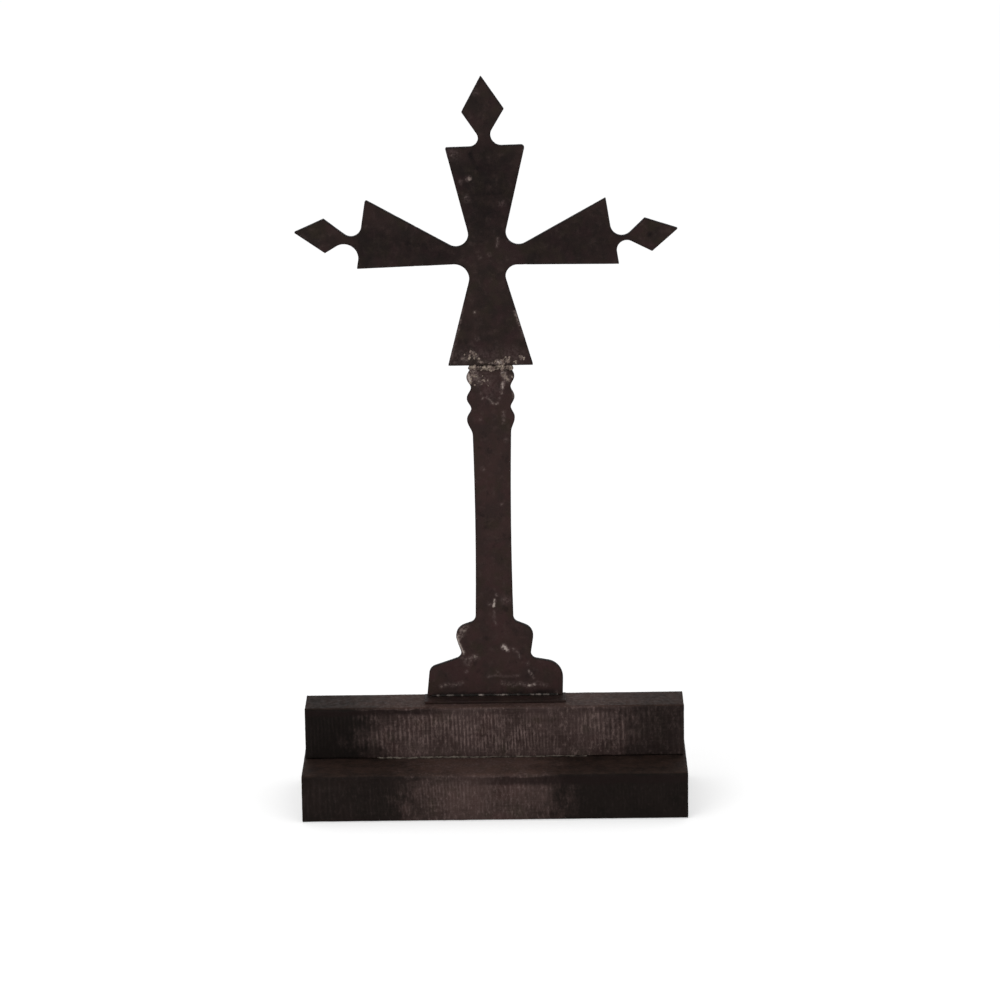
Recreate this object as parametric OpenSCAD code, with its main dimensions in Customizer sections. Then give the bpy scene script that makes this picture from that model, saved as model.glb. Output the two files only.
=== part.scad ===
// Wrought iron cross on a stepped wooden base.
// Everything is in millimetres. X runs left to right, the front faces -Y and Z is up.
// The origin is the centre of the lower block's underside.

/* [Wooden base] */
// Length of the lower block, left to right
lower_len = 384; // [300:1:600]
// Depth of the lower block, front to back
lower_depth = 140; // [110:1:260]
// Height of the lower block
lower_h = 48; // [30:1:90]
// Length of the upper block
upper_len = 380; // [240:1:600]
// Depth of the upper block
upper_depth = 50; // [40:1:100]
// Height of the upper block
upper_h = 52.5; // [30:0.5:90]
// Ledge of the lower block that shows in front of the upper one
ledge_front = 56; // [10:1:60]
// Wear on the long and upright edges of the blocks
wood_wear = 2; // [0.5:0.5:6]

/* [Foot plate] */
// Length of the flat plate under the column, left to right
plate_len = 142; // [140:1:230]
// Depth of the plate, front to back
plate_depth = 28; // [20:1:40]
// How far the plate stands in from the back of the upper block
plate_inset = 8.5; // [0:0.5:10]
// Thickness of the plate
plate_t = 2.5; // [1.5:0.5:8]

/* [Column] */
// Thickness of the column's iron
column_t = 6; // [4:0.5:12]
// Height of the column from the foot plate to its hidden top end
column_h = 365.5; // [320:0.5:520]
// How far the column stands in from the back of the upper block
column_inset = 11.5; // [9:0.5:16]
// Sideways place of the column's centre line
column_x = 1; // [-20:0.5:20]
// Half width of the collar strip under the head
collar_half = 21.5; // [19:0.5:30]

/* [Edges of the column: left, right] */
// How far down from the column's top end the first collar lobe lies
lobe_drop = [37.5, 36.5]; // [32:0.5:60]
// Height of one collar lobe and the notch below it
lobe_pitch = [21.3, 20.8]; // [16:0.1:26]
// Half width of the collar across its lobes
lobe_half = [24.3, 23.2]; // [22:0.1:32]
// Half width of the collar across its notches
notch_half = [20, 19.4]; // [17:0.1:22]
// Height over which the last lobe runs out into the shaft
lobe_tail = [16, 15]; // [10:0.5:24]
// Half width of the shaft where it is slimmest
shaft_half = [17.7, 18.2]; // [12:0.1:20]
// How much each edge of the shaft spreads towards its two ends
shaft_spread = [1.2, 1.2]; // [0:0.1:3]
// Half width of the foot where it stands on the plate
foot_half = [68.6, 68]; // [60:0.1:100]
// How far the foot's upright edge leans in on its way to the shoulder
foot_lean = [3, -0.8]; // [-2:0.1:6]
// Height of the foot's shoulder above the plate, at its outer end
shoulder_h = [29.5, 33]; // [20:0.5:45]
// Height of the same shoulder at the waist
waist_h = [41, 39]; // [30:0.5:55]
// Half width at the waist between shoulder and lobe
waist_half = [32, 35.6]; // [22:0.1:50]
// Rounding of the foot's shoulder
shoulder_r = [9, 18]; // [3:0.5:20]
// Half width of the upper lobe where its sides would meet
foot_lobe_half = [41.5, 40.2]; // [30:0.1:55]
// Height of that meeting point above the plate
foot_lobe_h = [70, 69.5]; // [60:0.5:85]
// Height at which the shaft runs into the foot
shaft_foot_h = 78; // [70:0.5:95]
// Rounding of the upper lobe
foot_lobe_r = 12; // [4:0.5:14]
// Rounding of the two hollows in the foot
foot_hollow_r = 6.5; // [2:0.5:8]

/* [Head: right arm, top arm, left arm, skirt] */
// Thickness of the head's iron
head_t = 6; // [4:0.5:12]
// How far the skirt laps over the column's top end
lap = 24; // [12:1:30]
// Sideways place of the crossing from the column's centre line
crossing_x = -2; // [-15:0.5:15]
// Bearing of each arm, anticlockwise from the right
bearing = [9, 91.3, 171, 270]; // [0:0.1:360]
// Length of each arm's blade from the crossing, along its clockwise side
blade_len_cw = [127, 113.4, 127, 105.6]; // [80:0.1:170]
// Length of each arm's blade from the crossing, along its anticlockwise side
blade_len_ccw = [124.7, 113, 125.3, 105.6]; // [80:0.1:170]
// Half width of the flared end on the clockwise side
end_half_cw = [25.3, 41, 42.2, 40]; // [20:0.1:60]
// Half width of the flared end on the anticlockwise side
end_half_ccw = [41.9, 37.3, 27, 44]; // [20:0.1:60]
// Angle at which the clockwise side opens
flare_cw = [9.3, 14.4, 20.3, 14.4]; // [4:0.1:24]
// Angle at which the anticlockwise side opens
flare_ccw = [20, 12.8, 11, 16.5]; // [4:0.1:24]
// Rounding of the flared end's corner on the clockwise side
corner_r_cw = [0.8, 3, 1.8, 0.8]; // [0.5:0.1:6]
// Rounding of the flared end's corner on the anticlockwise side
corner_r_ccw = [0.8, 1.5, 0.8, 0.8]; // [0.5:0.1:6]
// Rounding of the inner corner after each arm, going anticlockwise
crossing_r = [12.5, 12, 14.5, 11.5]; // [3:0.5:16]

/* [Finials: right arm, top arm, left arm] */
// Length of each finial from the flared end to its tip
finial_len = [63.8, 69.4, 65.4]; // [45:0.1:90]
// Rounding of the bite between blade and finial, clockwise side
bite_r_cw = [9.7, 10.6, 10]; // [5:0.1:14]
// Rounding of the same bite on the anticlockwise side
bite_r_ccw = [11.2, 8.4, 14]; // [5:0.1:14]
// Half width of the neck on the clockwise side
neck_half_cw = [3, 7.6, 3.8]; // [2:0.1:9]
// Half width of the neck on the anticlockwise side
neck_half_ccw = [2, 4.8, 4.3]; // [2:0.1:9]
// Where the finial is widest on the clockwise side, from the flared end
wide_at_cw = [33.9, 35.9, 37.6]; // [30:0.1:45]
// Where the finial is widest on the anticlockwise side
wide_at_ccw = [34.2, 34.4, 33]; // [30:0.1:45]
// Half width of the finial on the clockwise side
wide_half_cw = [18.2, 21.6, 17.4]; // [12:0.1:28]
// Half width of the finial on the anticlockwise side
wide_half_ccw = [15.6, 20, 16]; // [12:0.1:28]

/* [Welds] */
// Leg of the weld under the skirt
head_weld = 6; // [3:0.5:6]
// Leg of the weld along the foot
foot_weld = 2.5; // [1.5:0.5:5]
// How far the foot weld stops short of the foot's corners
foot_weld_in = 4; // [1:0.5:20]

/* [Hidden] */

wood_colour = [0.16, 0.13, 0.12];
iron_colour = [0.19, 0.15, 0.14];
weld_colour = [0.42, 0.39, 0.36];

// Angle between two points of a rounded stretch
arc_step = 9;
// Height between two points along the collar and along the shaft
edge_step = 1.5;
shaft_step = 8;
// Rounding of the finials' tips and outer corners
tip_r = 0.7;

// The base is stacked from the ground up
upper_front = -lower_depth / 2 + ledge_front;
upper_back = upper_front + upper_depth;
base_top = lower_h + upper_h;
plate_back = upper_back - plate_inset;
column_foot = base_top + plate_t;
column_back = upper_back - column_inset;
column_front = column_back - column_t;
column_top = column_foot + column_h;

// The head hangs on the column's front by the lap of its skirt
skirt_foot = column_top - lap;
crossing = [column_x + crossing_x, skirt_foot + (blade_len_cw[3] + blade_len_ccw[3]) / 2];
head_front = column_front - head_t;

// Lobes on each side of the collar
lobe_count = 3;

// ---- Outlines ----

function unit(v) = v / norm(v);

// Points of an arc of radius r about c, from angle a to angle b
function arc(c, r, a, b) =
    let (n = max(1, ceil(abs(b - a) / arc_step)))
    [for (i = [0:n]) let (t = a + (b - a) * i / n) c + r * [cos(t), sin(t)]];

// Corner q between its neighbours p and n, rounded as far as its sides allow
function rounded_corner(p, q, n, r) =
    let (
        to_p = unit(p - q),
        to_n = unit(n - q),
        half = acos(to_p * to_n) / 2,
        cut = min(r / tan(half), norm(p - q) / 2, norm(n - q) / 2),
        centre = q + unit(to_p + to_n) * cut / cos(half),
        from = q + to_p * cut - centre,
        to = q + to_n * cut - centre,
        a = atan2(from.y, from.x),
        turn = atan2(from.x * to.y - from.y * to.x, from * to)
    )
    arc(centre, cut * tan(half), a, a + turn);

// Closed outline through corners [x, y, radius]; a radius of 0 keeps the corner sharp
function rounded(corners) =
    let (count = len(corners))
    [for (i = [0:count - 1])
        let (
            p = corners[(i + count - 1) % count],
            q = corners[i],
            n = corners[(i + 1) % count]
        )
        each q.z == 0
            ? [[q.x, q.y]]
            : rounded_corner([p.x, p.y], [q.x, q.y], [n.x, n.y], q.z)];

// Sharp corners from plain points
function sharp(points) = [for (p = points) [p.x, p.y, 0]];

function mirrored(corners) = [for (c = corners) [c.x, -c.y, c.z]];

function reversed(list) = [for (i = [len(list) - 1:-1:0]) list[i]];

// Where the line through a along u meets the line through b along v
function meet(a, u, b, v) =
    let (d = b - a)
    a + u * (d.x * v.y - d.y * v.x) / (u.x * v.y - u.y * v.x);

// ---- Head outline ----

// One side of a finial in its arm's own frame, from the flared end out to the widest corner:
// a round bite between blade and finial, then the straight inner edge that leaves it
function finial_side(len, bite_r, neck_half, wide_at, wide_half) =
    let (
        centre = [len + bite_r, neck_half + bite_r],
        wide = [len + wide_at, wide_half],
        away = wide - centre,
        leave = atan2(away.y, away.x) - acos(bite_r / norm(away))
    )
    concat(sharp(arc(centre, bite_r, -180, leave)), [[wide.x, wide.y, tip_r]]);

// An arm from its clockwise outer corner round to its anticlockwise one, in its own frame
function arm(i) =
    let (
        cw = blade_len_cw[i],
        ccw = blade_len_ccw[i],
        first = [cw, -end_half_cw[i], corner_r_cw[i]],
        last = [ccw, end_half_ccw[i], corner_r_ccw[i]]
    )
    i == 3
        ? [first, last]
        : concat(
            [first],
            mirrored(finial_side(cw, bite_r_cw[i], neck_half_cw[i], wide_at_cw[i], wide_half_cw[i])),
            [[(cw + ccw) / 2 + finial_len[i], 0, tip_r]],
            reversed(finial_side(ccw, bite_r_ccw[i], neck_half_ccw[i], wide_at_ccw[i], wide_half_ccw[i])),
            [last]);

// A direction in an arm's frame turned to the arm's bearing
function turned(v, i) =
    [v.x * cos(bearing[i]) - v.y * sin(bearing[i]), v.x * sin(bearing[i]) + v.y * cos(bearing[i])];

function placed(c, i) =
    let (p = crossing + turned(c, i))
    [p.x, p.y, c.z];

// The inner corner between an arm and the next one, where their flared sides would meet
function inner_corner(i) =
    let (
        j = (i + 1) % 4,
        here = crossing + turned([blade_len_ccw[i], end_half_ccw[i]], i),
        next = crossing + turned([blade_len_cw[j], -end_half_cw[j]], j),
        p = meet(
            here, turned([cos(flare_ccw[i]), sin(flare_ccw[i])], i),
            next, turned([cos(flare_cw[j]), -sin(flare_cw[j])], j))
    )
    [p.x, p.y, crossing_r[i]];

function head_outline() =
    rounded([for (i = [0:3]) each concat([for (c = arm(i)) placed(c, i)], [inner_corner(i)])]);

// ---- Column outline ----

// Value between a and b for a share from 0 to 1, easing in and out
function eased(a, b, share) = a + (b - a) * (1 - cos(180 * share)) / 2;

// Heights of the first and the last lobe above the foot plate
function first_lobe(side) = column_h - lobe_drop[side];
function last_lobe(side) = first_lobe(side) - (lobe_count - 1) * lobe_pitch[side];

// Half width of the shaft at height h, hollowed between its two ends
function shaft_edge(side, h) =
    let (top = last_lobe(side) - lobe_tail[side], middle = (top + shaft_foot_h) / 2)
    shaft_half[side] + shaft_spread[side] * pow((h - middle) / (top - middle), 2);

// The collar's wave of lobes, and the run-out of the last lobe into the shaft
function collar_edge(side, h) =
    h > last_lobe(side)
        ? eased(lobe_half[side], notch_half[side], 2 * (first_lobe(side) - h) / lobe_pitch[side])
        : eased(lobe_half[side], shaft_edge(side, h), (last_lobe(side) - h) / lobe_tail[side]);

// One edge of the column from top to foot as [half width, height, radius]
function column_edge(side) =
    let (
        strip_foot = first_lobe(side) + lobe_pitch[side] / 3,
        shaft_top = last_lobe(side) - lobe_tail[side],
        shaft_end = shaft_foot_h + 2 * foot_hollow_r
    )
    concat(
        [[collar_half, column_h, 0], [collar_half, strip_foot + edge_step, 0]],
        [for (h = [strip_foot:-edge_step:shaft_top]) [collar_edge(side, h), h, 0]],
        [for (h = [shaft_top - edge_step:-shaft_step:shaft_end]) [shaft_edge(side, h), h, 0]],
        [
            [shaft_edge(side, shaft_foot_h), shaft_foot_h, foot_hollow_r],
            [foot_lobe_half[side], foot_lobe_h[side], foot_lobe_r],
            [waist_half[side], waist_h[side], foot_hollow_r],
            [foot_half[side] - foot_lean[side], shoulder_h[side], shoulder_r[side]],
            [foot_half[side], 0, 0]
        ]);

function column_outline() =
    rounded(concat(
        [for (c = column_edge(1)) [column_x + c.x, column_foot + c.y, c.z]],
        reversed([for (c = column_edge(0)) [column_x - c.x, column_foot + c.y, c.z]])));

// ---- Solids ----

// An upright plate cut to an outline in X and Z, with its front face at y = front
module upright_plate(outline, front, thickness)
    translate([0, front + thickness, 0])
        rotate([90, 0, 0])
            linear_extrude(thickness)
                polygon(outline);

// A bar along X with the cross-section points [y, z]
module bar(points, x0, x1)
    translate([x0, 0, 0])
        rotate([90, 0, 90])
            linear_extrude(x1 - x0)
                polygon(points);

function block_corners(x0, x1, y0, y1) =
    rounded([[x0, y0, wood_wear], [x1, y0, wood_wear], [x1, y1, wood_wear], [x0, y1, wood_wear]]);

// A sawn block with worn edges, standing at height z
module block(len, y0, depth, z, h)
    intersection() {
        translate([0, 0, z]) linear_extrude(h) polygon(block_corners(-len / 2, len / 2, y0, y0 + depth));
        bar(block_corners(y0, y0 + depth, z, z + h), -len / 2, len / 2);
    }

module lower_block()
    color(wood_colour) block(lower_len, -lower_depth / 2, lower_depth, 0, lower_h);

module upper_block()
    color(wood_colour) block(upper_len, upper_front, upper_depth, lower_h, upper_h);

module foot_plate()
    color(iron_colour)
        translate([column_x - plate_len / 2, plate_back - plate_depth, base_top])
            cube([plate_len, plate_depth, plate_t]);

module column()
    color(iron_colour) upright_plate(column_outline(), column_front, column_t);

module cross_head()
    color(iron_colour) upright_plate(head_outline(), head_front, head_t);

// Three-cornered weld in the angle under the skirt, across the collar
module head_weld()
    color(weld_colour)
        bar([
            [column_front, skirt_foot],
            [column_front - head_weld, skirt_foot],
            [column_front, skirt_foot - head_weld]
        ], column_x - collar_half, column_x + collar_half);

// Three-cornered weld in the angle between foot and plate
module foot_weld()
    color(weld_colour)
        bar([
            [column_front, column_foot],
            [column_front, column_foot + foot_weld],
            [column_front - foot_weld, column_foot]
        ], column_x - foot_half[0] + foot_weld_in, column_x + foot_half[1] - foot_weld_in);

lower_block();
upper_block();
foot_plate();
column();
cross_head();
head_weld();
foot_weld();
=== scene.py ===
"""A wrought iron cross welded to a strip of iron on two dark, rough-sawn blocks of wood."""

import math
import random

import bmesh
import bpy
from mathutils import Matrix, Vector, noise


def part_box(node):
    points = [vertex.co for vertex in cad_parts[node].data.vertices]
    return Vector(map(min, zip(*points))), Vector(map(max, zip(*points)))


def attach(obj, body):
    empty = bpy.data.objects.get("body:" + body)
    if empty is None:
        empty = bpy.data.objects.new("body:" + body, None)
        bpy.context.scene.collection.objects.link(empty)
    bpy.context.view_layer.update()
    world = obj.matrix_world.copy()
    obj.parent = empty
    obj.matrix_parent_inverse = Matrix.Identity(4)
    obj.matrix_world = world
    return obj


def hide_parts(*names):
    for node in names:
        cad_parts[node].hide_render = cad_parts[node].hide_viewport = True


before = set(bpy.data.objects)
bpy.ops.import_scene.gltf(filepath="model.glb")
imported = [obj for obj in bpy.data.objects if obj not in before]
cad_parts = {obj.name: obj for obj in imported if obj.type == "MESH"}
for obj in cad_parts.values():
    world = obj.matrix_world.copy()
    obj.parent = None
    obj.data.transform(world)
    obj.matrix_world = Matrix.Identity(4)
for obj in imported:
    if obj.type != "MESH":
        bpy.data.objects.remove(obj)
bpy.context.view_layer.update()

MM = 0.001


def corners(node):
    """The lowest and the highest corner of a CAD node's box, in millimetres."""
    low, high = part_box(node)
    return low / MM, high / MM


# The places that the dirt, the wear, the painted shade and the painted highlights are measured from, in
# millimetres
COLUMN_LOW = corners("column")[0]
HEAD_LOW = corners("cross_head")[0]
WELD_LOW, WELD_HIGH = corners("head_weld")
BEAD_LOW, BEAD_HIGH = corners("foot_weld")
UPPER_LOW, UPPER_HIGH = corners("upper_block")
LOWER_LOW, LOWER_HIGH = corners("lower_block")
CENTRE_X = (WELD_LOW.x + WELD_HIGH.x) / 2
SKIRT_FOOT = HEAD_LOW.z
COLUMN_FOOT = COLUMN_LOW.z

# Where the grit along the joint of the two blocks begins and ends, in millimetres
DUST_START, DUST_END = -116, 92

# Faces of a block, each given by its axis and by which end of that axis it is at
FRONT, BACK, TOP = (1, 0), (1, 1), (2, 1)

# A point of a block whose normal has more than this along an axis lies on a face across that axis
ON_FACE = 0.6


# ---- Small helpers for shapes ----

def clamp(value, low=0.0, high=1.0):
    return max(low, min(high, value))


def ease(value, start, end):
    """0 at start and 1 at end, with a soft run between them."""
    share = clamp((value - start) / (end - start))
    return share * share * (3 - 2 * share)


def grain(point, size, shift=0.0):
    """Smooth noise from -1 to 1 with lumps about size millimetres across."""
    x, y, z = (value / size for value in point)
    return noise.noise(Vector((x + shift, y - shift, z + 2 * shift)))


def lumps(point, size, shift=0.0):
    """Noise with three sizes of lump, from -1 to 1."""
    return (grain(point, size, shift) + 0.5 * grain(point, size / 2, shift + 7)
            + 0.25 * grain(point, size / 4, shift + 13)) / 1.4


def new_object(name, bm):
    """Puts the bmesh into the scene as an object and frees it."""
    mesh = bpy.data.meshes.new(name)
    bm.to_mesh(mesh)
    bm.free()
    made = bpy.data.objects.new(name, mesh)
    bpy.context.scene.collection.objects.link(made)
    return made


def new_piece(name, bm, slot, finish, *nodes):
    """Makes the bmesh a piece of the cross that stands for the CAD nodes."""
    piece = new_object(name, bm)
    for face in piece.data.polygons:
        face.use_smooth = True
    piece.data.materials.append(finish)
    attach(piece, "root")
    if nodes:
        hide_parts(*nodes)


def one_skin(bm, **settings):
    """The same shape as one closed skin of small even faces; the settings say how fine and how crisp."""
    rough = new_object("rough", bm)
    remesh = rough.modifiers.new("skin", "REMESH")
    for name, value in settings.items():
        setattr(remesh, name, value)
    skinned = bpy.data.meshes.new_from_object(rough.evaluated_get(bpy.context.evaluated_depsgraph_get()))
    skin = bmesh.new()
    skin.from_mesh(skinned)
    used_up = (rough.data, skinned)
    bpy.data.objects.remove(rough)
    for mesh in used_up:
        bpy.data.meshes.remove(mesh)
    return skin


def smooth(bm, factor):
    """Draws every point towards its neighbours by the factor."""
    bmesh.ops.smooth_vert(bm, verts=bm.verts, factor=factor,
                          use_axis_x=True, use_axis_y=True, use_axis_z=True)


def from_cad(node):
    """A merged copy of a CAD node."""
    bm = bmesh.new()
    bm.from_mesh(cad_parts[node].data)
    bmesh.ops.remove_doubles(bm, verts=bm.verts, dist=0.001 * MM)
    return bm


def press(bm, depth):
    """Moves every point inwards along its normal by depth(point, normal) millimetres."""
    bm.normal_update()
    moves = [v.normal * (-depth(v.co / MM, v.normal) * MM) for v in bm.verts]
    for v, move in zip(bm.verts, moves):
        v.co += move
    bm.normal_update()


def keep_inside(bm, node):
    """Brings points that stand out sideways or upwards back to the CAD node's box."""
    low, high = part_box(node)
    for v in bm.verts:
        v.co.x = clamp(v.co.x, low.x, high.x)
        v.co.z = clamp(v.co.z, low.z, high.z)


def paint(bm, name, amount):
    """Stores amount(point, normal) on every point, for the finish to read."""
    layer = bm.verts.layers.float.new(name)
    for v in bm.verts:
        v[layer] = amount(v.co / MM, v.normal)


# ---- Where the dirt, the painted shade and the painted highlights lie ----

class Smear:
    """A patch of dirt, of painted shade or of painted highlight: a line from one place to another with a half
    width and a strength.
    Places are millimetres to the right of the column's centre line and above a given height."""

    def __init__(self, base, start, end, half_width, strength):
        self.start = Vector((CENTRE_X + start[0], base + start[1]))
        self.end = Vector((CENTRE_X + end[0], base + end[1]))
        self.half_width = half_width
        self.strength = strength

    def at(self, point):
        """How strongly the patch lies at a point: full along the line and ragged at its rim."""
        flat = Vector((point[0], point[2]))
        line = self.end - self.start
        share = clamp((flat - self.start).dot(line) / line.length_squared) if line.length else 0
        away = (flat - self.start - line * share).length
        if away > 2 * self.half_width:
            return 0
        ragged = away + 0.6 * self.half_width * lumps(point, 1.6 * self.half_width + 2.5, 3)
        return self.strength * (1 - ease(ragged, 0, 1.5 * self.half_width))


def spot(base, place, half_width, strength):
    """A smear that stays in one place."""
    return Smear(base, place, place, half_width, strength)


def run(base, places, half_width, strength):
    """A crooked smear through several places."""
    return [Smear(base, a, b, half_width, strength) for a, b in zip(places, places[1:])]


# How many smears at the start of the skirt's and the collar's lists are thick enough to carry crumbs
CRUMBLY = 6

# Pale crust on and around the weld under the skirt
SKIRT_DIRT = [
    Smear(SKIRT_FOOT, (-27, 7), (-15, 9), 4.0, 0.42),
    Smear(SKIRT_FOOT, (-19, 15), (-12, 7), 2.6, 0.65),
    Smear(SKIRT_FOOT, (-12, 4), (6, 2), 1.8, 0.5),
    Smear(SKIRT_FOOT, (7, 3), (17, 5), 3.0, 0.9),
    spot(SKIRT_FOOT, (25, 3), 2.6, 0.75),
    spot(SKIRT_FOOT, (31, 8), 3.2, 0.6),
    *run(SKIRT_FOOT, [(-26, 60), (-36, 18), (-40, 4)], 1.7, 0.4),
    spot(SKIRT_FOOT, (-36, 4), 4.0, 0.35),
    Smear(SKIRT_FOOT, (24, 54), (28, 43), 1.5, 0.65),
    Smear(SKIRT_FOOT, (28, 43), (34, 28), 2.2, 0.4),
    spot(SKIRT_FOOT, (-15, 54), 1.8, 0.6),
    spot(SKIRT_FOOT, (-13, 27), 2.8, 0.35),
    Smear(SKIRT_FOOT, (-34, 9), (30, 10), 9.0, 0.18),
]

# Faint pale places higher up on the head
HEAD_DIRT = [
    spot(SKIRT_FOOT, (-19, 187), 3.0, 0.65),
    spot(SKIRT_FOOT, (-27, 184), 2.6, 0.4),
    spot(SKIRT_FOOT, (-22, 168), 4.0, 0.3),
    spot(SKIRT_FOOT, (13, 162), 4.0, 0.3),
    spot(SKIRT_FOOT, (-35, 212), 7.0, 0.33),
    Smear(SKIRT_FOOT, (8, 120), (9, 128), 2.0, 0.35),
    spot(SKIRT_FOOT, (0, 111), 2.2, 0.4),
    spot(SKIRT_FOOT, (-9, 109), 2.2, 0.3),
    spot(SKIRT_FOOT, (-11, 272), 4.0, 0.3),
]

# Crust and runs on the collar
COLLAR_DIRT = [
    Smear(SKIRT_FOOT, (-23, -9), (-21, -18), 3.0, 0.95),
    Smear(SKIRT_FOOT, (-18, -7), (-11, -16), 5.5, 0.6),
    Smear(SKIRT_FOOT, (-10, -13), (-3, -18), 5.5, 0.42),
    Smear(SKIRT_FOOT, (-21, -2), (21, -2), 3.2, 0.8),
    Smear(SKIRT_FOOT, (12, -9), (16, -15), 4.0, 0.8),
    spot(SKIRT_FOOT, (20, -12), 2.6, 0.4),
    Smear(SKIRT_FOOT, (12, -19), (11, -24), 2.2, 0.85),
    *run(SKIRT_FOOT, [(-9, -35), (-7, -33.5), (-4, -33.5), (-2, -36), (1, -39.5)], 1.3, 0.62),
    *run(SKIRT_FOOT, [(1, -39.5), (4, -40.5), (7, -39.5)], 1.5, 0.78),
    spot(SKIRT_FOOT, (8.5, -35), 1.8, 0.6),
    spot(SKIRT_FOOT, (10.5, -29), 2.2, 0.65),
    Smear(SKIRT_FOOT, (22, -24), (22, -33), 1.6, 0.7),
    spot(SKIRT_FOOT, (-10, -29), 1.8, 0.5),
    spot(SKIRT_FOOT, (-11, -56), 2.6, 0.4),
    Smear(SKIRT_FOOT, (12, -49), (12, -60), 2.0, 0.4),
    spot(SKIRT_FOOT, (14, -78), 2.4, 0.4),
    spot(SKIRT_FOOT, (-9, -107), 2.8, 0.45),
    spot(SKIRT_FOOT, (9, -143), 2.0, 0.5),
    spot(SKIRT_FOOT, (4, -21), 3.0, 0.3),
    Smear(SKIRT_FOOT, (-4, -10), (-2, -24), 13.0, 0.17),
]

# Scuffs and weld spatter on the foot
FOOT_DIRT = [
    Smear(COLUMN_FOOT, (-0.5, 93), (0.5, 100), 1.7, 0.95),
    spot(COLUMN_FOOT, (-4, 95), 2.4, 0.45),
    spot(COLUMN_FOOT, (3, 105), 1.9, 0.55),
    spot(COLUMN_FOOT, (12, 100), 6.0, 0.33),
    *run(COLUMN_FOOT, [(0, 88), (0, 80), (2, 74)], 1.8, 0.35),
    Smear(COLUMN_FOOT, (-36, 62), (-30, 72), 4.6, 0.62),
    *run(COLUMN_FOOT, [(-38, 64), (-36, 56), (-31, 44)], 1.6, 0.95),
    Smear(COLUMN_FOOT, (9, 51), (13, 48), 2.8, 1.0),
    *run(COLUMN_FOOT, [(17, 49), (22, 46), (25, 40)], 2.2, 0.35),
    Smear(COLUMN_FOOT, (-27, 38), (-19, 41), 3.4, 0.5),
    Smear(COLUMN_FOOT, (-32, 39), (-26, 33), 3.0, 0.3),
    spot(COLUMN_FOOT, (-29, 25), 2.4, 0.4),
    spot(COLUMN_FOOT, (33, 33), 2.4, 0.45),
    Smear(COLUMN_FOOT, (34, 25), (39, 18), 1.7, 0.5),
    *run(COLUMN_FOOT, [(-55, 10), (-48, 12), (-42, 11), (-33, 13.5)], 2.3, 0.36),
    spot(COLUMN_FOOT, (-54, 10), 2.0, 0.6),
    *run(COLUMN_FOOT, [(8, 13), (17, 10.5), (24, 12), (31, 10.5)], 2.8, 0.36),
    Smear(COLUMN_FOOT, (33, 10), (40, 11), 2.2, 0.85),
    Smear(COLUMN_FOOT, (42, 13), (50, 10), 2.4, 0.3),
    *run(COLUMN_FOOT, [(-7, 20), (2, 21), (10, 19.5), (24, 20.5)], 1.7, 0.27),
    spot(COLUMN_FOOT, (3, 24), 3.0, 0.3),
    spot(COLUMN_FOOT, (62, 2), 2.2, 0.5),
]

# Painted highlights: places along the foot weld painted pale for the glints of light on it
BEAD_GLINTS = [
    spot(COLUMN_FOOT, (-58, 1), 1.8, 0.9),
    Smear(COLUMN_FOOT, (-48, 1), (-43, 1), 1.2, 0.4),
    spot(COLUMN_FOOT, (-33, 1), 1.4, 0.4),
    spot(COLUMN_FOOT, (-14, 1), 2.6, 1.0),
    Smear(COLUMN_FOOT, (0, 1), (3, 1), 1.3, 0.5),
    Smear(COLUMN_FOOT, (6, 1), (12, 1), 1.3, 0.75),
    spot(COLUMN_FOOT, (23, 1), 1.4, 0.45),
    Smear(COLUMN_FOOT, (36, 1), (38, 1), 1.2, 0.5),
    Smear(COLUMN_FOOT, (42, 1), (45, 1), 1.2, 0.65),
    Smear(COLUMN_FOOT, (49, 1), (53, 1), 1.2, 0.5),
    spot(COLUMN_FOOT, (63, 1), 1.6, 0.4),
]

# Darker parts: painted shade over the blades of the three arms, for the light that falls off towards the top,
# and soot blotches on them and along the foot
SOOT_AND_SHADE = [
    Smear(SKIRT_FOOT, (-3, 150), (-2, 205), 34, 0.75),
    Smear(SKIRT_FOOT, (-45, 115), (-115, 128), 26, 0.65),
    Smear(SKIRT_FOOT, (40, 115), (110, 128), 28, 0.55),
    Smear(SKIRT_FOOT, (-17, 212), (-11, 198), 3.5, 1.0),
    Smear(SKIRT_FOOT, (-16, 171), (12, 172), 4.0, 0.9),
    Smear(SKIRT_FOOT, (0, 153), (10, 153), 3.5, 0.9),
    Smear(SKIRT_FOOT, (-78, 124), (-58, 120), 7.0, 0.9),
    spot(SKIRT_FOOT, (157, 130), 3.0, 1.0),
    Smear(SKIRT_FOOT, (-52, 100), (-66, 112), 6.0, 0.6),
    Smear(COLUMN_FOOT, (18, 3), (58, 3), 3.5, 0.85),
    Smear(COLUMN_FOOT, (-60, 2), (18, 2), 2.2, 0.7),
]


def smear_mask(smears):
    """How strongly the smears lie at a point; the smears are dirt, painted shade and painted highlights."""
    return lambda point: max(smear.at(point) for smear in smears)


# ---- Iron ----

def forged_depth(crust):
    """How deep the hammered and pitted skin of the iron lies, less the crust that stands on it."""
    def depth(point, normal):
        face = abs(normal.y) > 0.5
        hammered = (0.16 if face else 0.07) * (1 + lumps(point, 17 if face else 6, 1))
        pitted = 0.22 * ease(grain(point, 3.2, 5), 0.35, 0.8)
        grown = crust(point) * (0.15 + 0.5 * clamp(0.5 + grain(point, 2.4, 9)))
        return hammered + pitted - (grown if normal.y < -0.5 else 0.3 * grown)
    return depth


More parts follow.
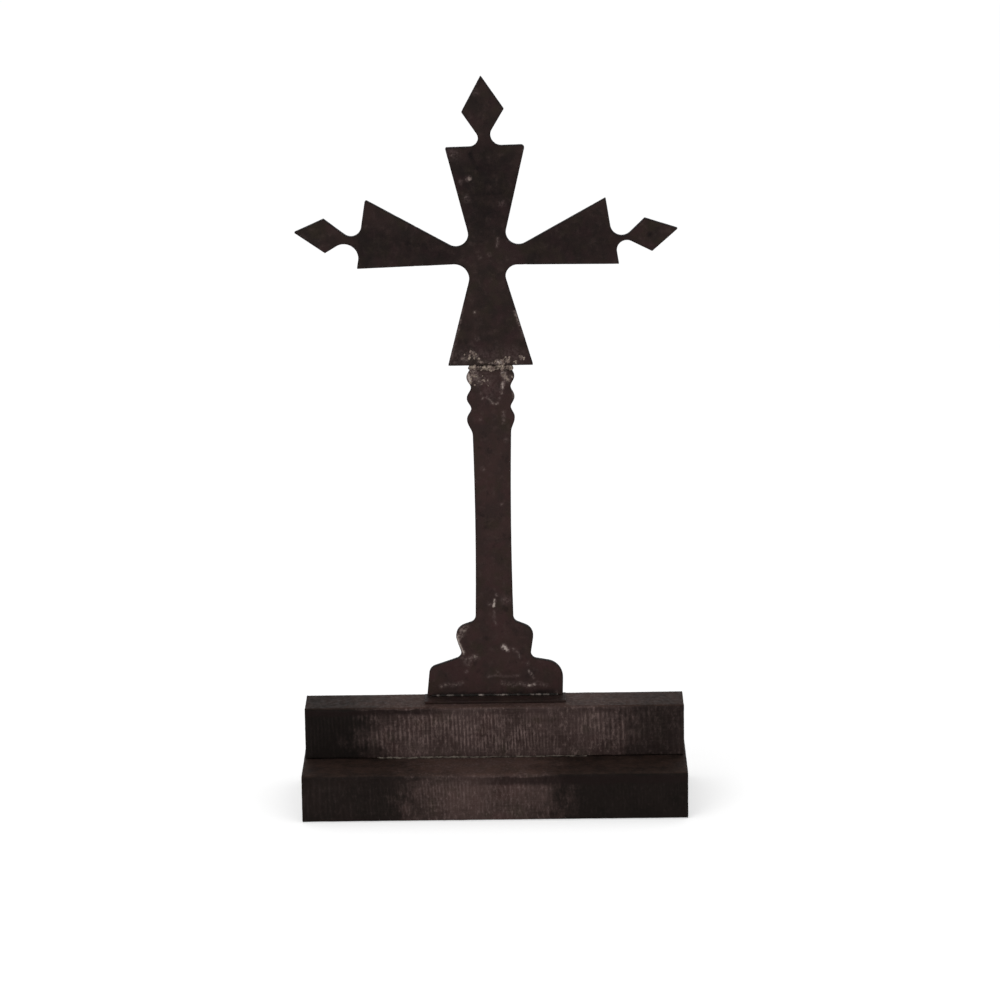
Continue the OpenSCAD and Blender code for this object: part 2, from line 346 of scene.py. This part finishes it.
def iron_plate(name, node, crust, finish):
    """A flat piece of wrought iron with softened, slightly uneven edges."""
    bm = one_skin(from_cad(node), mode="SHARP", octree_depth=9, scale=0.8, sharpness=1.0)
    smooth(bm, 0.3)
    front = min(v.co.y for v in bm.verts) / MM

    def on_front(point):
        """The crust, which runs out over the plate's edge before it reaches the back."""
        return crust(point) * (1 - ease(point[1] - front, 3.0, 5.5))

    press(bm, forged_depth(on_front))
    keep_inside(bm, node)
    paint(bm, "crust", lambda point, normal: on_front(point))
    paint(bm, "edge", lambda point, normal: 1 - ease(abs(normal.y), 0.75, 0.97))
    # Soot blotches, and painted shade that darkens the blades of the three arms
    soot_and_shade = smear_mask(SOOT_AND_SHADE)
    paint(bm, "soot_and_shade", lambda point, normal: soot_and_shade(point))
    new_piece(name, bm, "dark_iron", finish, node)


def foot_strip(finish):
    """The flat strip that the column is welded to, grimy on top, with painted shadow of the column darkening
    its top.
    """
    bm = from_cad("foot_plate")
    bmesh.ops.dissolve_limit(bm, angle_limit=math.radians(1), verts=bm.verts, edges=bm.edges)
    bmesh.ops.bevel(bm, geom=bm.edges[:], offset=0.5 * MM, offset_type="OFFSET", segments=2, profile=0.5,
                    affect="EDGES", material=-1)
    # Cells for the unevenness; the bevel's own short edges are left as they are
    long_edges = [e for e in bm.edges if abs(e.verts[0].co.x - e.verts[1].co.x) > 20 * MM]
    bmesh.ops.subdivide_edges(bm, edges=long_edges, cuts=110, use_grid_fill=True)
    deep_edges = [e for e in bm.edges if abs(e.verts[0].co.y - e.verts[1].co.y) > 20 * MM]
    bmesh.ops.subdivide_edges(bm, edges=deep_edges, cuts=20, use_grid_fill=True)
    press(bm, lambda point, normal: 0.14 * (1 + lumps(point, 9, 4)))
    paint(bm, "crust", lambda point, normal: 0.3 * ease(lumps(point, 6, 8), 0.45, 0.8))
    # Soot, and painted shadow of the column: the top is painted darker than the sides
    paint(bm, "soot_and_shade", lambda point, normal: 0.4 if normal.z > 0.5 else 0.25)
    new_piece("foot_strip", bm, "dark_iron", finish, "foot_plate")


# ---- Welds ----

def add_lump(bm, place, radii, turn):
    """A small rounded lump with its middle at place, all in millimetres."""
    made = bmesh.ops.create_icosphere(bm, subdivisions=2, radius=MM)["verts"]
    bmesh.ops.scale(bm, vec=radii, verts=made)
    bmesh.ops.rotate(bm, cent=(0, 0, 0), matrix=Matrix.Rotation(turn, 3, "Y"), verts=made)
    bmesh.ops.translate(bm, vec=Vector(place) * MM, verts=made)


def collar_crust(finish):
    """The thick, pale, lumpy weld under the skirt with the crust that has spread round it."""
    rng = random.Random(41)
    bm = bmesh.new()
    front = COLUMN_LOW.y
    edge = WELD_HIGH.x - CENTRE_X
    # The weld itself: two rows of lumps in the angle under the skirt
    for row, (drop, out, size) in enumerate(((1.5, 3.9, 2.1), (4.0, 2.0, 1.9))):
        x = -edge + 0.5 + row
        while x < edge - 0.5:
            r = size * rng.uniform(0.45, 1.2)
            place = (CENTRE_X + x, front - out + rng.uniform(-0.9, 0.6),
                     SKIRT_FOOT - drop + rng.uniform(-1.2, 0.9))
            radii = (r * rng.uniform(0.9, 1.4), r, r * rng.uniform(0.7, 1.1))
            add_lump(bm, place, radii, rng.uniform(0, math.pi))
            x += r * rng.uniform(0.9, 1.5)
    # Crumbs of crust on the skirt and on the collar
    for smears, face, count in ((SKIRT_DIRT[:CRUMBLY], HEAD_LOW.y, 55), (COLLAR_DIRT[:CRUMBLY], front, 70)):
        crust = smear_mask(smears)
        left = count
        while left:
            point = (CENTRE_X + rng.uniform(-31, 34), face, SKIRT_FOOT + rng.uniform(-26, 18))
            above = point[2] > SKIRT_FOOT + 0.5
            inside = above if face == HEAD_LOW.y else not above and abs(point[0] - CENTRE_X) < edge
            if not inside or rng.random() > crust(point) ** 1.5:
                continue
            r = rng.uniform(0.45, 1.35) * rng.uniform(0.7, 1.2)
            radii = (r * rng.uniform(0.8, 1.5), 0.75 * r, r * rng.uniform(0.8, 1.3))
            add_lump(bm, (point[0], face - 0.15 * r, point[2]), radii, rng.uniform(0, math.pi))
            left -= 1
    bm = one_skin(bm, mode="VOXEL", voxel_size=0.42 * MM)
    smooth(bm, 0.5)
    press(bm, lambda point, normal: 0.22 * lumps(point, 2.6, 2))
    paint(bm, "hollow", lambda point, normal: clamp(0.5 + 0.5 * lumps(point, 3.4, 2)))
    new_piece("collar_crust", bm, "weld_bead", finish, "head_weld")


def foot_bead(finish):
    """The thin, broken line of weld along the foot."""
    rng = random.Random(7)
    bm = bmesh.new()
    margin = 1.5
    x = BEAD_LOW.x + margin
    while x < BEAD_HIGH.x - margin:
        r = rng.uniform(0.9, 1.5)
        place = (x, BEAD_HIGH.y - 0.7 + rng.uniform(-0.3, 0.2), BEAD_LOW.z + 0.7 + rng.uniform(-0.1, 0.4))
        add_lump(bm, place, (r * rng.uniform(1.0, 1.7), r, r * rng.uniform(0.8, 1.1)), rng.uniform(-0.3, 0.3))
        x += r * rng.uniform(0.9, 1.3)
    bm = one_skin(bm, mode="VOXEL", voxel_size=0.4 * MM)
    smooth(bm, 0.5)
    # Where the painted highlights lie along the weld
    glint = smear_mask(BEAD_GLINTS)
    paint(bm, "glint", lambda point, normal: glint(point))
    new_piece("foot_bead", bm, "weld_bead", finish, "foot_weld")


# ---- Wood ----

def cut_block(node, cell):
    """A box the size of the CAD block, in small cells so that wear and saw marks can be pressed into it."""
    low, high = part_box(node)
    size = high - low
    bm = bmesh.new()
    bmesh.ops.create_cube(bm, size=1)
    bmesh.ops.scale(bm, vec=size, verts=bm.verts)
    bmesh.ops.translate(bm, vec=(low + high) / 2, verts=bm.verts)
    for axis in (0, 2, 1):
        along = [e for e in bm.edges if abs((e.verts[1].co - e.verts[0].co).normalized()[axis]) > 0.999]
        cells = round(size[axis] / MM / cell[axis])
        bmesh.ops.subdivide_edges(bm, edges=along, cuts=cells - 1, use_grid_fill=True)
    return bm


def round_edges(bm, low, high, radius):
    """Rounds the box's edges; radius(point, a, b) gives the wear at a place on the edge between two faces."""
    faces = [(axis, end) for axis in range(3) for end in (0, 1)]
    edges = [(a, b) for a in faces for b in faces if a[0] < b[0]]
    for v in bm.verts:
        point = v.co / MM
        for a, b in edges:
            r = radius(point, a, b)
            inward = [point[axis] - low[axis] if end == 0 else high[axis] - point[axis]
                      for axis, end in (a, b)]
            if inward[0] >= r or inward[1] >= r:
                continue
            to = Vector((inward[0] - r, inward[1] - r)).normalized() * r
            for (axis, end), amount in zip((a, b), (to.x + r, to.y + r)):
                point[axis] = low[axis] + amount if end == 0 else high[axis] - amount
        v.co = point * MM


def saw_mark(x, z, pitch, shift):
    """The comb of ridges that a frame saw leaves, 0 in a groove and 1 on a ridge."""
    place = Vector((x, 0, z))
    x = x + 0.7 * grain(place, 38, shift) + 0.03 * z
    phase = x / (pitch + 0.5 * math.sin(x / 61 + shift))
    ridge = 0.5 + 0.5 * math.cos(2 * math.pi * phase)
    tooth = clamp(0.75 + 0.6 * grain((x, shift, z / 6), 2.6, shift))
    return ridge ** 1.5 * tooth


def saw_strength(point, low, high, shift):
    """Where the saw marks are strong: patchy, fainter to the right, and fading out towards the arrises."""
    x, y, z = point
    patchy = 0.25 + 0.75 * ease(lumps((x, y, 1.7 * z), 48, shift), -0.35, 0.35)
    upright = ease(z, low.z + 2, low.z + 16) * (1 - ease(z, high.z - 9, high.z - 5))
    return patchy * (0.3 + 0.7 * upright) * (1 - 0.15 * ease(x, -10, 70))


def sawn_block(name, node, cell, pitch, shift, arris, marks, finish):
    """A rough-sawn, dark-stained block. arris(x) is the wear of its front top edge, and marks is how
    strongly the saw marks show."""
    low, high = corners(node)
    bm = cut_block(node, cell)

    def radius(point, a, b):
        if (a, b) == (FRONT, TOP):
            return arris(point.x)
        if (a, b) == (BACK, TOP):
            return 0.8 + 0.3 * grain(point, 14, shift)
        return 1.6 + 0.7 * grain(point, 14, shift)

    round_edges(bm, low, high, radius)

    def depth(point, normal):
        uneven = 0.12 * (1 + lumps(point, 40, shift))
        fibre = 0.12 * (0.5 + 0.5 * lumps((point[0] / 9, point[1], point[2]), 2.2, shift))
        if abs(normal.y) > ON_FACE:
            cut = marks * saw_mark(point[0], point[2], pitch, shift) * saw_strength(point, low, high, shift)
            return uneven + 0.5 * fibre + 0.38 * (1 - cut)
        if abs(normal.x) > ON_FACE:
            return uneven + 0.3 * (0.5 + 0.5 * lumps(point, 4, shift))
        return uneven + fibre

    press(bm, depth)

    def worn(point, normal):
        """How far the stain has been rubbed off: on the saw ridges and on the arrises."""
        on_edge = sum(ease(abs(n), 0.25, 0.6) for n in normal) - 1
        rubbed = 0.35 * clamp(on_edge) * ease(lumps((point[0] / 3, point[1], point[2]), 6, shift), -0.1, 0.5)
        if abs(normal.y) < ON_FACE:
            return rubbed
        ridge = saw_mark(point[0], point[2], pitch, shift) * saw_strength(point, low, high, shift)
        return max(rubbed, marks * ridge)

    paint(bm, "worn", worn)
    new_piece(name, bm, "stained_wood", finish, node)


def upper_arris(x):
    """Worn 2 to 4 mm at the front of the upper block."""
    return 2.8 + 0.9 * grain((x, 0, 0), 45, 2) + 0.6 * grain((x, 0, 0), 12, 6)


def lower_arris(x):
    """Chipped and wavy at the front of the lower block."""
    return 2.8 + 1.3 * grain((x, 0, 0), 26, 11) + 0.8 * grain((x, 0, 0), 8, 3)


def dust_line(finish):
    """Grit that has gathered along the foot of the upper block, in a thin broken line."""
    rng = random.Random(23)
    bm = bmesh.new()
    x = DUST_START
    while x < DUST_END:
        thin = ease(x, -60, 60)
        r = rng.uniform(0.6, 1.15) * (0.85 + 0.35 * lumps((x, 0, 0), 22, 5)) * (1 - 0.35 * thin)
        height = LOWER_HIGH.z + 0.4 + rng.uniform(-0.1, 0.6) + 0.5 * grain((x, 0, 0), 25, 4)
        if lumps((x, 0, 0), 14, 9) > 0.1 * thin - 0.5:
            radii = (r * rng.uniform(1.2, 2.6), r, r * rng.uniform(0.8, 1.3))
            add_lump(bm, (x, UPPER_LOW.y + 0.1, height), radii, rng.uniform(-0.15, 0.15))
        x += r * rng.uniform(0.9, 1.7)
    bm = one_skin(bm, mode="VOXEL", voxel_size=0.35 * MM)
    press(bm, lambda point, normal: 0.15 * lumps(point, 1.8, 2))
    new_piece("joint_dust", bm, "stained_wood", finish)


# ---- Finishes ----

class Finish:
    """A material made of nodes on object coordinates, in millimetres."""

    def __init__(self, name):
        self.material = bpy.data.materials.new(name)
        self.material.use_nodes = True
        self.tree = self.material.node_tree
        self.tree.nodes.clear()
        output = self.tree.nodes.new("ShaderNodeOutputMaterial")
        self.shader = self.tree.nodes.new("ShaderNodeBsdfPrincipled")
        self.tree.links.new(self.shader.outputs[0], output.inputs[0])
        place = self.tree.nodes.new("ShaderNodeTexCoord").outputs["Object"]
        self.place = self.add("ShaderNodeVectorMath", {0: place, "Scale": 1 / MM}, operation="SCALE")

    def add(self, kind, inputs, output=0, **settings):
        """Adds a node; an input is a socket to link or a value to set."""
        made = self.tree.nodes.new(kind)
        for name, value in settings.items():
            setattr(made, name, value)
        for name, value in inputs.items():
            if isinstance(value, bpy.types.NodeSocket):
                self.tree.links.new(value, made.inputs[name])
            else:
                made.inputs[name].default_value = value
        return made.outputs[output]

    def noise(self, size, detail=3.0, rough=0.55, shift=0.0, stretch=(1, 1, 1)):
        """Noise with lumps about size millimetres across, longer along an axis by its stretch."""
        scale = [1 / (size * longer) for longer in stretch]
        place = self.add("ShaderNodeMapping", {"Vector": self.place, "Scale": scale,
                                               "Location": (shift, shift / 2, -shift)})
        return self.add("ShaderNodeTexNoise", {"Vector": place, "Scale": 1.0, "Detail": detail,
                                               "Roughness": rough})

    def ramp(self, value, start, end, low=0.0, high=1.0):
        """Goes softly from low to high as the value goes from start to end."""
        ends = {"Value": value, "From Min": start, "From Max": end, "To Min": low, "To Max": high}
        return self.add("ShaderNodeMapRange", ends, interpolation_type="SMOOTHSTEP")

    def maths(self, operation, a, b):
        return self.add("ShaderNodeMath", {0: a, 1: b}, operation=operation)

    def times(self, a, b):
        return self.maths("MULTIPLY", a, b)

    def stored(self, name):
        """A value painted on the points of the piece."""
        return self.add("ShaderNodeAttribute", {}, output="Fac", attribute_name=name)

    def mix(self, share, a, b):
        return self.add("ShaderNodeMix", {0: share, 6: a, 7: b}, output=2, data_type="RGBA")

    def axis(self, name):
        return self.add("ShaderNodeSeparateXYZ", {0: self.place}, output=name)

    def bump(self, height, distance, strength=1.0):
        """Fine relief up to distance millimetres deep."""
        made = self.add("ShaderNodeBump", {"Height": height, "Distance": distance * MM, "Strength": strength})
        self.tree.links.new(made, self.shader.inputs["Normal"])

    def set(self, **sockets):
        """Links or sets the shader's inputs, named in lower case with underscores."""
        for name, value in sockets.items():
            socket = self.shader.inputs[name.replace("_", " ").title().replace("Ior", "IOR")]
            if isinstance(value, bpy.types.NodeSocket):
                self.tree.links.new(value, socket)
            else:
                socket.default_value = value


def srgb(red, green, blue):
    """A colour given as display values from 0 to 255."""
    def linear(value):
        value /= 255
        return value / 12.92 if value <= 0.04045 else ((value + 0.055) / 1.055) ** 2.4
    return (linear(red), linear(green), linear(blue), 1.0)


def blackened_iron(name, light, dark, red):
    """Nearly black wrought iron with brown, red and olive patches and pale scuffs and crust."""
    f = Finish(name)
    # Clouds of brown, red, olive, scuffed and nearly black iron
    colour = f.mix(f.ramp(f.noise(26, 4, 0.6, shift=3), 0.38, 0.62), dark, light)
    colour = f.mix(f.ramp(f.noise(17, shift=11), 0.46, 0.7, 0, 0.6), colour, red)
    colour = f.mix(f.ramp(f.noise(19, shift=31), 0.48, 0.72, 0, 0.6), colour, srgb(40, 34, 26))
    colour = f.mix(f.ramp(f.noise(7, 5, 0.7, shift=47), 0.5, 0.76, 0, 0.5), colour, srgb(63, 51, 48))
    colour = f.mix(f.ramp(f.noise(11, 5, 0.75, shift=57), 0.46, 0.3, 0, 0.5), colour, srgb(19, 14, 14))
    # Soot and painted shade, dark edges and small pale specks
    blotches = f.ramp(f.noise(9, 5, 0.7, shift=5), 0.3, 0.62, 0.25, 1.0)
    colour = f.mix(f.times(f.stored("soot_and_shade"), blotches), colour, srgb(16, 11, 11))
    colour = f.mix(f.times(f.stored("edge"), 0.85), colour, srgb(10, 8, 8))
    specks = f.ramp(f.noise(2.2, 3, 0.6, shift=71), 0.68, 0.8, 0, 0.3)
    colour = f.mix(specks, colour, srgb(87, 74, 70))
    # A thin film of dust lies wherever there is crust, and the crust itself covers the iron where it is thick
    thin = f.ramp(f.noise(2.4, 4, 0.7, shift=67), 0.4, 0.62, 0.12, 1.15)
    film = f.times(f.stored("crust"), thin)
    colour = f.mix(film, colour, srgb(98, 83, 81))
    crumbly = f.ramp(f.noise(3.4, 5, 0.75, shift=17), 0.3, 0.7)
    covered = f.ramp(f.maths("SUBTRACT", f.stored("crust"), crumbly), -0.08, 0.7)
    covered = f.times(covered, f.ramp(f.stored("crust"), 0.02, 0.3))
    pale = f.mix(f.noise(5, shift=29), srgb(109, 94, 90), srgb(136, 125, 116))
    pale = f.mix(f.ramp(f.stored("crust"), 0.6, 0.95), pale, srgb(160, 148, 141))
    colour = f.mix(covered, colour, pale)
    roughness = f.ramp(f.noise(6, 4, shift=13), 0.3, 0.7, 0.46, 0.62)
    f.set(base_color=colour, roughness=f.maths("MAXIMUM", roughness, f.times(covered, 0.85)))
    f.set(specular_ior_level=0.05)
    f.bump(f.maths("ADD", f.noise(1.1, 5, 0.65), f.times(covered, 0.8)), 0.25, 0.6)
    return f.material


def weld_crust():
    """Grey and beige crust, light on its lumps and dark between them."""
    f = Finish("weld_crust")
    pale = f.mix(f.ramp(f.noise(9, shift=3), 0.4, 0.6), srgb(114, 99, 92), srgb(146, 133, 120))
    colour = f.mix(f.ramp(f.noise(2.6, 4, 0.7, shift=9), 0.34, 0.56), srgb(76, 62, 57), pale)
    colour = f.mix(f.ramp(f.stored("hollow"), 0.46, 0.7, 0, 0.85), colour, srgb(31, 23, 21))
    colour = f.mix(f.ramp(f.noise(4, 3, shift=21), 0.62, 0.72, 0, 0.5), colour, srgb(174, 164, 153))
    f.set(base_color=colour, roughness=0.85, specular_ior_level=0.15)
    f.bump(f.noise(0.8, 5, 0.7), 0.2, 0.5)
    return f.material


def bead_metal():
    """Grimy weld with painted highlights in places."""
    f = Finish("bead_metal")
    glint = f.times(f.stored("glint"), f.ramp(f.noise(2.0, 3, shift=4), 0.3, 0.6))
    # The pale colour of the painted highlights
    colour = f.mix(glint, srgb(23, 19, 17), srgb(137, 126, 120))
    f.set(base_color=colour, roughness=f.ramp(glint, 0, 1, 0.6, 0.42), specular_ior_level=0.15)
    f.bump(f.noise(0.9, 4, 0.6), 0.2, 0.6)
    return f.material


def joint_grit():
    """Pale dust and grit that has gathered in a corner."""
    f = Finish("joint_grit")
    colour = f.mix(f.ramp(f.noise(5, 4, 0.7, shift=3), 0.35, 0.6), srgb(50, 42, 38), srgb(98, 90, 82))
    f.set(base_color=colour, roughness=0.9, specular_ior_level=0.1)
    f.bump(f.noise(0.7, 4, 0.7), 0.2, 0.6)
    return f.material


def stained_wood(name, low, high, base, ridge, ends, arris_band):
    """Near-black brown stain over rough-sawn wood, rubbed grey and pink on the ridges, with painted shadow
    darkening it towards the ends.
    ends gives, for the left and the right, how far the painted shadow reaches in from the end, how far it
    fades and its strength.
    arris_band gives, for the dark band under the front top edge, its top, its depth, the place along the
    block where it starts to grow and where it is full, and its strength."""
    f = Finish(name)
    # Clouds of brown, red and olive stain, with lighter fibres
    dark, light = base
    colour = f.mix(f.ramp(f.noise(38, 4, shift=5), 0.36, 0.64), dark, light)
    colour = f.mix(f.ramp(f.noise(24, 3, shift=17), 0.5, 0.74, 0, 0.45), colour, srgb(55, 37, 35))
    colour = f.mix(f.ramp(f.noise(19, 3, shift=37), 0.52, 0.76, 0, 0.5), colour, srgb(42, 38, 29))
    fibres = f.noise(1.5, 4, 0.65, shift=23, stretch=(14, 1, 1))
    colour = f.mix(f.ramp(fibres, 0.42, 0.68, 0, 0.3), colour, srgb(77, 64, 60))
    # Painted shadow darkening the block towards its ends; lit is what is left of the paler wear there
    for side, place, (reach, fade, strength) in ((1, low.x, ends[0]), (-1, high.x, ends[1])):
        inwards = f.times(f.maths("SUBTRACT", f.axis("X"), place), side)
        edge = f.noise(17, 5, 0.75, shift=2 + side, stretch=(1, 1, 1.5))
        ragged = f.maths("ADD", inwards, f.ramp(edge, 0.2, 0.8, -24, 24))
        end_shadow = f.ramp(ragged, reach, reach + fade, strength, 0)
        # The near-black colour of the painted shadow
        colour = f.mix(end_shadow, colour, srgb(15, 12, 10))
        kept = f.maths("SUBTRACT", 1.0, end_shadow)
        lit = kept if side == 1 else f.times(lit, kept)
    # Stain rubbed off: along the worn ridges, in smears and in specks
    scratches = f.noise(1.1, 3, 0.65, shift=61, stretch=(0.8, 1, 12))
    brushed = f.ramp(f.maths("ADD", scratches, f.noise(7, 5, 0.75, shift=3)), 0.8, 1.2)
    colour = f.mix(f.times(lit, f.times(f.stored("worn"), brushed)), colour, ridge)
    smeared = f.ramp(f.noise(3.4, 5, 0.75, shift=53, stretch=(0.8, 1, 1.8)), 0.48, 0.72, 0, 0.55)
    colour = f.mix(f.times(lit, smeared), colour, ridge)
    specks = f.ramp(f.noise(1.7, 3, 0.7, shift=83), 0.66, 0.78, 0, 0.45)
    colour = f.mix(f.times(lit, specks), colour, srgb(107, 94, 87))
    # Dust on whatever looks upwards, together with a painted sheen: the top faces are made lighter and greyer
    # to stand for their reflection of the white surroundings
    up = f.add("ShaderNodeSeparateXYZ", {0: f.add("ShaderNodeNewGeometry", {}, output="Normal")}, output="Z")
    cloudy = f.ramp(f.noise(13, 5, 0.7, shift=41), 0.3, 0.7, 0.1, 0.6)
    dust_and_sheen = f.times(f.ramp(up, 0.6, 0.97), cloudy)
    colour = f.mix(f.times(f.ramp(lit, 0, 1, 0.6, 1), dust_and_sheen), colour, srgb(68, 50, 43))
    # The dark band under the front top edge, with a wavy rim
    down_front = f.maths("SUBTRACT", high.z, f.axis("Z"))
    waves = f.noise(17, 4, 0.7, shift=29, stretch=(1.5, 1, 1))
    wavy = f.maths("ADD", down_front, f.ramp(waves, 0, 1, -2.5, 2.5))
    top, depth, start, full, strength = arris_band
    band = f.times(f.ramp(wavy, top, top + 1), f.ramp(wavy, depth, depth + 4, 1, 0))
    band = f.times(band, f.ramp(f.axis("X"), start, full, 0.15, strength))
    colour = f.mix(band, colour, srgb(25, 17, 16))
    roughness = f.ramp(f.noise(5, 4, shift=19), 0.3, 0.7, 0.52, 0.72)
    f.set(base_color=colour, roughness=roughness, specular_ior_level=0.04)
    f.bump(f.maths("ADD", fibres, f.times(scratches, 0.5)), 0.35, 0.6)
    return f.material


# ---- Studio ----

def seen_directly(tree):
    """1 for what the camera sees straight, in a reflection or through glass."""
    path = tree.nodes.new("ShaderNodeLightPath")
    total = path.outputs["Is Camera Ray"]
    for name in ("Is Glossy Ray", "Is Transmission Ray"):
        add = tree.nodes.new("ShaderNodeMath")
        add.operation = "MAXIMUM"
        tree.links.new(total, add.inputs[0])
        tree.links.new(path.outputs[name], add.inputs[1])
        total = add.outputs[0]
    return total


def white_world(light):
    """White where it is seen; as a light, an even grey of the given strength."""
    world = bpy.data.worlds.new("studio")
    bpy.context.scene.world = world
    world.use_nodes = True
    tree = world.node_tree
    background = tree.nodes["Background"]
    background.inputs["Color"].default_value = (1, 1, 1, 1)
    strength = tree.nodes.new("ShaderNodeMapRange")
    tree.links.new(seen_directly(tree), strength.inputs["Value"])
    strength.inputs["To Min"].default_value = light
    strength.inputs["To Max"].default_value = 1.0
    tree.links.new(strength.outputs[0], background.inputs["Strength"])


def pale_floor(light):
    """A floor that fades into the white of the studio and keeps the object's shadow; light is the glow that
    brings it up to white where it is seen."""
    bm = bmesh.new()
    bmesh.ops.create_grid(bm, x_segments=1, y_segments=1, size=6)
    floor = new_object("floor", bm)
    paper = bpy.data.materials.new("white_paper")
    paper.use_nodes = True
    tree = paper.node_tree
    tree.nodes.clear()
    output = tree.nodes.new("ShaderNodeOutputMaterial")
    both = tree.nodes.new("ShaderNodeAddShader")
    matt = tree.nodes.new("ShaderNodeBsdfDiffuse")
    matt.inputs["Color"].default_value = (0.8, 0.8, 0.8, 1)
    glow = tree.nodes.new("ShaderNodeEmission")
    strength = tree.nodes.new("ShaderNodeMath")
    strength.operation = "MULTIPLY"
    tree.links.new(seen_directly(tree), strength.inputs[0])
    strength.inputs[1].default_value = light
    tree.links.new(strength.outputs[0], glow.inputs["Strength"])
    tree.links.new(matt.outputs[0], both.inputs[0])
    tree.links.new(glow.outputs[0], both.inputs[1])
    tree.links.new(both.outputs[0], output.inputs[0])
    floor.data.materials.append(paper)


def soft_lamp(name, place, aim, width, power):
    """A square lamp turned towards the aim, in metres and watts."""
    light = bpy.data.lights.new(name, "AREA")
    light.shape = "SQUARE"
    light.size = width
    light.energy = power
    lamp = bpy.data.objects.new(name, light)
    lamp.location = place
    lamp.rotation_mode = "QUATERNION"
    lamp.rotation_quaternion = (Vector(aim) - Vector(place)).to_track_quat("-Z", "Y")
    bpy.context.scene.collection.objects.link(lamp)


def long_lens_camera(place, azimuth, pitch, roll, lens):
    """A view from the front and a little above; angles in degrees."""
    a, e, r = (math.radians(angle) for angle in (azimuth, pitch, roll))
    ahead = Vector((-math.sin(a) * math.cos(e), math.cos(a) * math.cos(e), -math.sin(e)))
    right = ahead.cross(Vector((0, 0, 1))).normalized()
    up = right.cross(ahead)
    tilted_right = right * math.cos(r) + up * math.sin(r)
    tilted_up = up * math.cos(r) - right * math.sin(r)
    data = bpy.data.cameras.new("camera")
    data.lens = lens
    data.sensor_width = 36
    data.clip_start, data.clip_end = 0.1, 50
    camera = bpy.data.objects.new("camera", data)
    turn = Matrix((tilted_right, tilted_up, -ahead)).transposed().to_4x4()
    camera.matrix_world = Matrix.Translation(place) @ turn
    bpy.context.scene.collection.objects.link(camera)
    bpy.context.scene.camera = camera


# ---- The cross ----

long_lens_camera((0.039, -4.317, 1.424), azimuth=0.405, pitch=14.46, roll=-0.78, lens=162)
white_world(light=0.74)
pale_floor(light=0.42)
soft_lamp("window", place=(-1.3, -2.0, 0.9), aim=(0, 0, 0.3), width=1.6, power=18)
soft_lamp("bounce", place=(1.6, -1.7, 0.6), aim=(0, 0, 0.25), width=1.6, power=7)

# The head's iron is the column's iron painted darker: painted shade towards the top, and painted light from
# the floor's bounce on the lower parts
column_iron_lit = blackened_iron("column_iron_lit", srgb(50, 36, 34), srgb(42, 32, 30), srgb(52, 34, 34))
head_iron_shaded = blackened_iron("head_iron_shaded", srgb(42, 31, 29), srgb(32, 25, 23), srgb(44, 29, 30))
strip_iron = blackened_iron("strip_iron", srgb(49, 37, 33), srgb(41, 31, 29), srgb(52, 34, 32))
iron_plate("forged_column", "column", smear_mask(COLLAR_DIRT + FOOT_DIRT), column_iron_lit)
iron_plate("forged_head", "cross_head", smear_mask(SKIRT_DIRT + HEAD_DIRT), head_iron_shaded)
foot_strip(strip_iron)
collar_crust(weld_crust())
foot_bead(bead_metal())
# ends sets the painted shadow towards each end of the upper block
upper_wood = stained_wood("stained_upper", UPPER_LOW, UPPER_HIGH, base=(srgb(43, 32, 30), srgb(57, 45, 43)),
                          ridge=srgb(118, 100, 96), ends=((40, 64, 0.95), (42, 50, 0.7)),
                          arris_band=(1.5, 5.0, -40.0, -90.0, 0.8))
sawn_block("upper_plinth", "upper_block", cell=(0.8, 2.5, 1.5), pitch=3.7, shift=4.0, arris=upper_arris,
           marks=1.0, finish=upper_wood)
# ends sets the painted shadow towards each end of the lower block
lower_wood = stained_wood("stained_lower", LOWER_LOW, LOWER_HIGH, base=(srgb(44, 34, 31), srgb(64, 50, 47)),
                          ridge=srgb(109, 92, 89), ends=((84, 56, 0.86), (110, 62, 0.92)),
                          arris_band=(2.0, 9.0, -50.0, 20.0, 0.7))
sawn_block("lower_plinth", "lower_block", cell=(0.9, 3.0, 1.6), pitch=3.9, shift=19.0, arris=lower_arris,
           marks=0.45, finish=lower_wood)
dust_line(joint_grit())

bpy.context.scene.view_settings.view_transform = "Standard"
